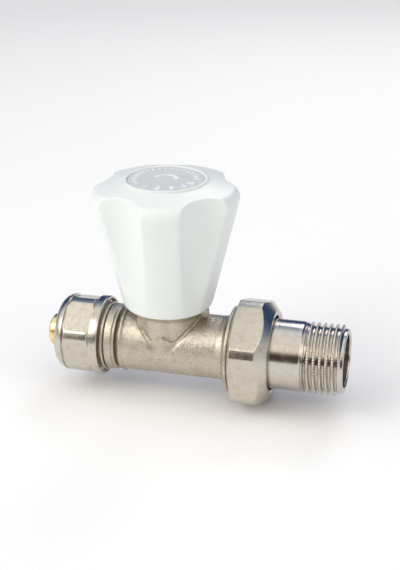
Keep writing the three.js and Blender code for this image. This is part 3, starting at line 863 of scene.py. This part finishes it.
tailSettings = {
    "outline": [
        (7.4, 22.9), (8.95, 22.9), (9.45, 23.4), (9.45, 24.65), (8.45, 24.65), (8.45, 25.95),
        (9.45, 25.95), (9.45, 28.5), (12.6, 28.5), (12.6, 29.7), (12.2, 30.1), (10.4, 30.1),
        (10.4, 41.0, 0.3), (9.95, 41.5, 0.1), (10.48, 42.1, 0.1), (10.48, 52.1, 0.3),
        (9.5, 52.9, 0.2), (9.5, 53.55, 0.1), (9.3, 53.7, 0.1), (8.3, 53.7, 0.15), (8.0, 53.3),
        (8.0, 44.0), (7.4, 43.2),
    ],
    "corner": 0.15,
    "thread": (41.7, 53.1),
    "finer": (41.4, 52.85),
    "pitch": 1.814,
    "root": 9.35,
    "notches": 72,  # nicks round each crest
    "bite": 0.16,  # their depth
    "columns": 360,
    "lugs": [
        # low and high corner of the fitting key's two lugs in the bore
        ((36, -1.3, -7.8), (43, 1.3, -6.3)),
        ((36, -1.3, 6.3), (43, 1.3, 7.8)),
    ],
}


def tailpiece(settings):
    outline = rounded(settings["outline"], settings["corner"])
    rows = split(outline, 1.5, finer=[(*settings["finer"], settings["pitch"] / 18)])
    cutting = [settings[name] for name in ("pitch", "root", "notches", "bite")]
    shape = threadShape(*settings["thread"], *cutting)
    turned = meshOf("tailpiece_turned", *spin(rows, settings["columns"], True, shape=shape))
    carve(turned, [block("lug", *corners) for corners in settings["lugs"]], "UNION")
    body = "tailpiece"
    return finishPiece(turned, body, "tailpiece", "tailNickel", sharp=40)


tailpiece(tailSettings)
print("nuts and tailpiece made")


# Small turned pieces: outline, axis, body, slot and finish of each

ringBrass = [
    (7.1, -28.3), (7.1, -32.9), (7.3, -33.1, 0.1), (7.6, -33.1, 0.2), (8.3, -32.4, 0.3),
    (8.3, -31.4, 0.4), (9.5, -29.6), (9.6, -28.3, 0.3),
]
ringSlit = ((-37, 5, -0.6), (-28, 11, 0.6))
insertBrass = [
    (3.4, -37.2), (4.25, -37.2), (4.85, -36.6), (4.85, -33.35), (4.05, -33.35), (4.05, -32.05),
    (4.85, -32.05), (4.85, -30.65), (4.05, -30.65), (4.05, -29.35), (4.85, -29.35), (4.85, -27.2),
    (9.3, -27.2), (9.3, -25.9), (6.2, -25.9), (6.2, -23.95), (5.1, -23.95), (5.1, -22.45),
    (6.2, -22.45), (6.2, -21.0), (5.8, -20.6), (3.4, -20.6),
]
turnedPieces = {
    # name: (outline, turned along X, body, node, slot, finish)
    "insulating_washer_disc": (
        [(5.0, -28.1), (9.2, -28.1), (9.2, -27.3), (5.0, -27.3)],
        True, "inlet_kit", "insulating_washer", "ptfe", "sealPlastic",
    ),
    "pipe_insert_turned": (
        insertBrass, True, "inlet_kit", "pipe_insert", "turned_brass", "brassAcross",
    ),
    "bonnet_seal_ring": (
        [(8.3, 13.3), (10.8, 13.3), (10.8, 13.8), (8.3, 13.8)],
        False, "valve", "bonnet_seal", "fibre_seal", "fibreSeal",
    ),
}
rubberRings = {
    # name: (middle radius, section radius, place, turned along X, body, node)
    "spigot_ring_outer": (4.62, 0.5, -32.7, True, "inlet_kit", "insert_o_ring_outer"),
    "spigot_ring_inner": (4.62, 0.5, -30.0, True, "inlet_kit", "insert_o_ring_inner"),
    "insert_body_ring": (5.72, 0.54, -23.2, True, "inlet_kit", "insert_body_o_ring"),
    "tailpiece_ring": (9.0, 0.48, 25.3, True, "tailpiece", "tailpiece_o_ring"),
    "gland_ring_lower": (4.12, 0.55, 30.0, False, "valve", "gland_o_ring_lower"),
    "gland_ring_upper": (4.12, 0.55, 32.6, False, "valve", "gland_o_ring_upper"),
}


def turnedPiece(name, outline, alongX, body, node, slot, material):
    rows = split(rounded(outline, 0.12), 1.5)
    piece = meshOf(name, *spin(rows, 144, alongX))
    return finishPiece(piece, body, node, material, sharp=40)


def rubberRing(name, middle, section, place, alongX, body, node):
    steps = 20
    angles = [step * 2 * math.pi / steps for step in range(steps)]
    outline = [(middle + section * math.cos(a), place + section * math.sin(a)) for a in angles]
    piece = meshOf(name, *spin(outline, 120, alongX))
    return finishPiece(piece, body, node, "sealRubber")


def splitRing(outline, slit):
    rows = split(rounded(outline, 0.15), 1.0)
    ring = meshOf("split_ring_turned", *spin(rows, 180, True))
    carve(ring, [block("slit", *slit)])
    return finishPiece(ring, "inlet_kit", "split_ring", "brassAcross", sharp=35)


for pieceName, facts in turnedPieces.items():
    turnedPiece(pieceName, *facts)
for pieceName, facts in rubberRings.items():
    rubberRing(pieceName, *facts)
splitRing(ringBrass, ringSlit)
print("small turned pieces made")


# Headwork under the handwheel: flange, six flats and the barrel for the gland

bonnetSettings = {
    "outline": [
        (7.3, 6.5), (8.15, 6.5), (8.15, 13.9), (10.9, 13.9), (10.9, 15.1), (10.97, 15.15, 0),
        (10.97, 19.6, 0.2), (10.2, 20.2), (7.4, 20.2), (7.4, 30.8), (7.0, 31.2), (5.4, 31.2),
        (5.4, 26.7), (3.65, 26.7), (3.65, 25.5), (5.05, 25.5), (5.05, 14.6), (7.3, 14.6),
    ],
    "corner": 0.15,
    "acrossFlats": 19.0,
    "lift": 90,
    "flats": (15.12, 20.3),
    "flatsSoft": 0.2,
    "columns": 240,
}


def bonnet(settings):
    rows = split(rounded(settings["outline"], settings["corner"]), 0.5)
    low, high = settings["flats"]
    shape = hexShape(settings["acrossFlats"], settings["lift"], low, high, settings["flatsSoft"])
    piece = meshOf("bonnet_turned", *spin(rows, settings["columns"], False, shape=shape))
    return finishPiece(piece, "valve", "bonnet", "brassUpright", sharp=40)


bonnet(bonnetSettings)
print("headwork made")


# Handwheel: a plain turned moulding, fluted by a node tree that follows one rule round its lobes

wheelSettings = {
    "outline": [
        (12.1, 13.2, 0.2), (12.6, 13.1, 0.3), (13.1, 13.6, 0.6), (13.5, 14.8, 1.2),
        (21.5, 47.0, 3.2), (20.3, 49.5, 2.9), (12.7, 51.15, 0.5), (12.35, 51.0, 0.2),
        (12.06, 51.1, 0.1), (12.06, 51.62, 0.15), (11.85, 51.72, 0.1), (11.25, 51.72, 0.15),
        (11.05, 51.5, 0.1), (11.05, 49.8), (4.6, 49.8), (4.6, 45.6), (2.2, 45.6), (2.2, 44.8, 0),
        (3.6, 44.8, 0), (3.6, 35.2), (5.6, 35.2), (5.6, 44.4, 0.6), (12.4, 44.4, 0.8),
        (13.2, 42), (11.9, 24), (11.9, 13.4),
    ],
    "corner": 0.25,
    "Lobes": 5,
    "First Lobe": math.radians(-77.8),  # direction of one lobe's middle from +X
    "Flute Axis": 22.8,  # mm from the spindle axis to each round flute's axis, at the pipe's height
    "Flute Lean": 0.11,  # growth of that distance with height
    "Flute Radius": 11.0,
    "Softness": 0.9,  # mm over which the flute's edge is rounded
    "columns": 400,
    "longest": 0.5,
}


def treeInputs(tree, sockets):
    tree.interface.new_socket("Geometry", in_out="INPUT", socket_type="NodeSocketGeometry")
    for name, kind in sockets.items():
        tree.interface.new_socket(name, in_out="INPUT", socket_type=kind)
    tree.interface.new_socket("Geometry", in_out="OUTPUT", socket_type="NodeSocketGeometry")
    entry = tree.nodes.new("NodeGroupInput")
    graph = Graph(tree)
    return graph, {socket.name: Signal(graph, socket) for socket in entry.outputs if socket.name}


def treeEnd(graph, geometry, material):
    # every tree ends in real geometry with its material on it
    real = graph.add("GeometryNodeRealizeInstances", None, {0: geometry})
    painted = graph.add("GeometryNodeSetMaterial", None, {"Geometry": real, "Material": material})
    ending = graph.tree.nodes.new("NodeGroupOutput")
    graph.plug(painted, ending.inputs[0])


def useTree(piece, tree, values):
    modifier = piece.modifiers.new(tree.name, "NODES")
    modifier.node_group = tree
    for item in tree.interface.items_tree:
        if item.in_out == "INPUT" and item.name in values:
            modifier[item.identifier] = values[item.name]
    return applied(piece)


def flutingTree(material):
    tree = bpy.data.node_groups.new("fluting", "GeometryNodeTree")
    graph, given = treeInputs(tree, {
        "Lobes": "NodeSocketInt",
        "First Lobe": "NodeSocketFloat",
        "Flute Axis": "NodeSocketFloat",
        "Flute Lean": "NodeSocketFloat",
        "Flute Radius": "NodeSocketFloat",
        "Softness": "NodeSocketFloat",
    })
    x, y, z = graph.split(graph.add("GeometryNodeInputPosition"))
    radius = graph.maths("SQRT", x * x + y * y)
    pitch = 2 * math.pi / given["Lobes"]
    turn = graph.maths("ARCTAN2", y, x) - given["First Lobe"]
    phase = graph.maths("FLOORED_MODULO", turn, pitch) - pitch / 2
    axis = given["Flute Axis"] + given["Flute Lean"] * z
    side = axis * graph.maths("SINE", phase)
    inside = given["Flute Radius"] ** 2 - side * side
    depth = graph.maths("SQRT", graph.maths("MAXIMUM", inside, 0.0))
    wall = axis * graph.maths("COSINE", phase) - depth
    # beyond the flute's edge the wall leans away steadily, so that the rounding has no step
    overshoot = graph.maths("MAXIMUM", -inside, 0.0) * 0.2
    reach = wall + overshoot
    gapTo = graph.maths("ABSOLUTE", radius - reach)
    spread = graph.maths("MAXIMUM", given["Softness"] - gapTo, 0.0) / given["Softness"]
    fluted = graph.maths("MINIMUM", radius, reach) - spread * spread * given["Softness"] * 0.25
    scale = fluted / graph.maths("MAXIMUM", radius, 0.001)
    moved = graph.join(x * scale, y * scale, z)
    sockets = {"Geometry": given["Geometry"], "Position": moved}
    placed = graph.add("GeometryNodeSetPosition", None, sockets)
    treeEnd(graph, placed, material)
    return tree


def handwheel(settings):
    outline = split(rounded(settings["outline"], settings["corner"], steps=8), settings["longest"])
    wheel = meshOf("handwheel_moulding", *spin(outline, settings["columns"], False))
    useTree(wheel, flutingTree(finish["wheelPlastic"]), settings)
    body = "handwheel_and_spindle"
    return finishPiece(wheel, body, "handwheel", "wheelPlastic", sharp=50)


handwheel(wheelSettings)
print("handwheel made")


# Dial plate with raised numerals, marks and a turning arrow

dialSettings = {
    "outline": [
        (0, 49.9), (10.9, 49.9), (10.9, 51.4, 0.15), (10.75, 51.5, 0.1), (10.4, 51.5, 0), (0, 51.5),
    ],
    "face": 51.5,
    "raise": 0.14,  # mm that the marks stand proud
    "numeralRadius": 8.6,
    "numeralSize": 2.9,
    "numerals": {"1": -113, "2": -88, "3": -62, "4": -38, "5": -15},  # direction of each from +X
    "numeralBevel": 0.06,
    "numeralWeight": 0.05,
    "tick": ((-0.75, -0.19, -0.1), (0.75, 0.19, 0.14)),  # low and high corner
    "tickBevel": 0.06,
    "Ticks": 19,
    "Tick Radius": 8.9,
    "Tick Start": math.radians(12),
    "Tick Span": math.radians(212),
}
arrowSettings = {
    "inner": 2.9,
    "outer": 3.6,
    "start": math.radians(25),
    "end": math.radians(155),
    "barb": 0.75,  # how far each head reaches past the band
    "point": 0.42,  # angle of each head
    "steps": 24,
    "sunk": 0.1,
}


def numeral(text, direction, settings):
    curve = bpy.data.curves.new("numeral" + text, "FONT")
    curve.body = text
    curve.size = settings["numeralSize"]
    curve.align_x = "CENTER"
    curve.align_y = "CENTER"
    curve.extrude = settings["raise"]
    curve.bevel_depth = settings["numeralBevel"]
    curve.offset = settings["numeralWeight"]
    writing = bpy.data.objects.new("numeral" + text, curve)
    scene.collection.objects.link(writing)
    evaluated = writing.evaluated_get(bpy.context.evaluated_depsgraph_get())
    mesh = bpy.data.meshes.new_from_object(evaluated)
    bpy.data.objects.remove(writing)
    angle = math.radians(direction)
    radius = settings["numeralRadius"]
    spot = (radius * math.cos(angle), radius * math.sin(angle), settings["face"])
    mesh.transform(Matrix.Translation(spot) @ Matrix.Rotation(angle + math.pi / 2, 4, "Z"))
    return mesh


def tickTree(material):
    tree = bpy.data.node_groups.new("ticks", "GeometryNodeTree")
    graph, given = treeInputs(tree, {
        "Ticks": "NodeSocketInt",
        "Tick Radius": "NodeSocketFloat",
        "Tick Start": "NodeSocketFloat",
        "Tick Span": "NodeSocketFloat",
        "Face": "NodeSocketFloat",
    })
    sockets = {"Count": given["Ticks"], "Offset": (0.0, 0.0, 0.0)}
    line = graph.add("GeometryNodeMeshLine", None, sockets)
    index = graph.add("GeometryNodeInputIndex")
    angle = given["Tick Start"] + index * given["Tick Span"] / (given["Ticks"] - 1)
    spot = graph.join(
        graph.maths("COSINE", angle) * given["Tick Radius"],
        graph.maths("SINE", angle) * given["Tick Radius"],
        given["Face"],
    )
    points = graph.add("GeometryNodeSetPosition", None, {"Geometry": line, "Position": spot})
    turn = graph.join(0.0, 0.0, angle)
    copies = graph.add("GeometryNodeInstanceOnPoints", None, {
        "Points": points, "Instance": given["Geometry"], "Rotation": turn,
    })
    treeEnd(graph, copies, material)
    return tree


def turningArrow(settings, face, top):
    # a curved double arrow: the wheel turns both ways
    inner, outer, barb = settings["inner"], settings["outer"], settings["barb"]
    low, high, steps = settings["start"], settings["end"], settings["steps"]
    middle = (inner + outer) / 2
    outline = [(outer, low + (high - low) * step / steps) for step in range(steps + 1)]
    outline += [(outer + barb, high), (middle, high + settings["point"]), (inner - barb, high)]
    outline += [(inner, high - (high - low) * step / steps) for step in range(steps + 1)]
    outline += [(inner - barb, low), (middle, low - settings["point"]), (outer + barb, low)]
    corners = [(r * math.cos(a), r * math.sin(a)) for r, a in outline]
    count = len(corners)
    lower = [(x, y, face - settings["sunk"]) for x, y in corners]
    upper = [(x, y, top) for x, y in corners]
    faces = [(i, (i + 1) % count, (i + 1) % count + count, i + count) for i in range(count)]
    faces += [tuple(range(count))[::-1], tuple(range(count, 2 * count))]
    return meshOf("turning_arrow", lower + upper, faces)


def dialPlate(settings):
    rows = split(rounded(settings["outline"], 0.2, closed=False), 0.8, closed=False)
    plate = meshOf("dial_plate_moulding", *spin(rows, 160, False, closed=False))
    body = "handwheel_and_spindle"
    return finishPiece(plate, body, "dial_plate", "dialPlastic", sharp=40)


def dialMarks(settings):
    marks = block("ticks", *settings["tick"])
    bevel = marks.modifiers.new("bevel", "BEVEL")
    bevel.width = settings["tickBevel"]
    bevel.segments = 2
    applied(marks)
    face = settings["face"]
    useTree(marks, tickTree(finish["markPaint"]), {**settings, "Face": face})
    arrow = turningArrow(arrowSettings, face, face + settings["raise"])
    whole = bmesh.new()
    whole.from_mesh(marks.data)
    whole.from_mesh(arrow.data)
    bpy.data.objects.remove(arrow)
    for text, direction in settings["numerals"].items():
        whole.from_mesh(numeral(text, direction, settings))
    bmesh.ops.remove_doubles(whole, verts=whole.verts, dist=1e-4)
    bmesh.ops.recalc_face_normals(whole, faces=whole.faces)
    whole.to_mesh(marks.data)
    whole.free()
    marks.name = "dial_marks"
    body = "handwheel_and_spindle"
    return finishPiece(marks, body, "dial_plate", "markPaint", sharp=30)


dialPlate(dialSettings)
dialMarks(dialSettings)
print("dial made")


# Pieces that stay as the frame gives them, in their own finishes

keptNodes = {
    "gland_nut": "brassUpright",
    "gland_packing": "sealPlastic",
    "disc_holder": "brassUpright",
    "disc_seal": "sealRubber",
    "disc_screw": "brassUpright",
    "disc_clip": "zincSteel",
    "spindle": "brassUpright",
    "handwheel_washer": "zincSteel",
    "handwheel_screw": "zincSteel",
}
for nodeName, material in keptNodes.items():
    node = frame["nodes"][nodeName]
    for place in range(len(node.material_slots)):
        node.material_slots[place].material = finish[material]
print("inner pieces painted")
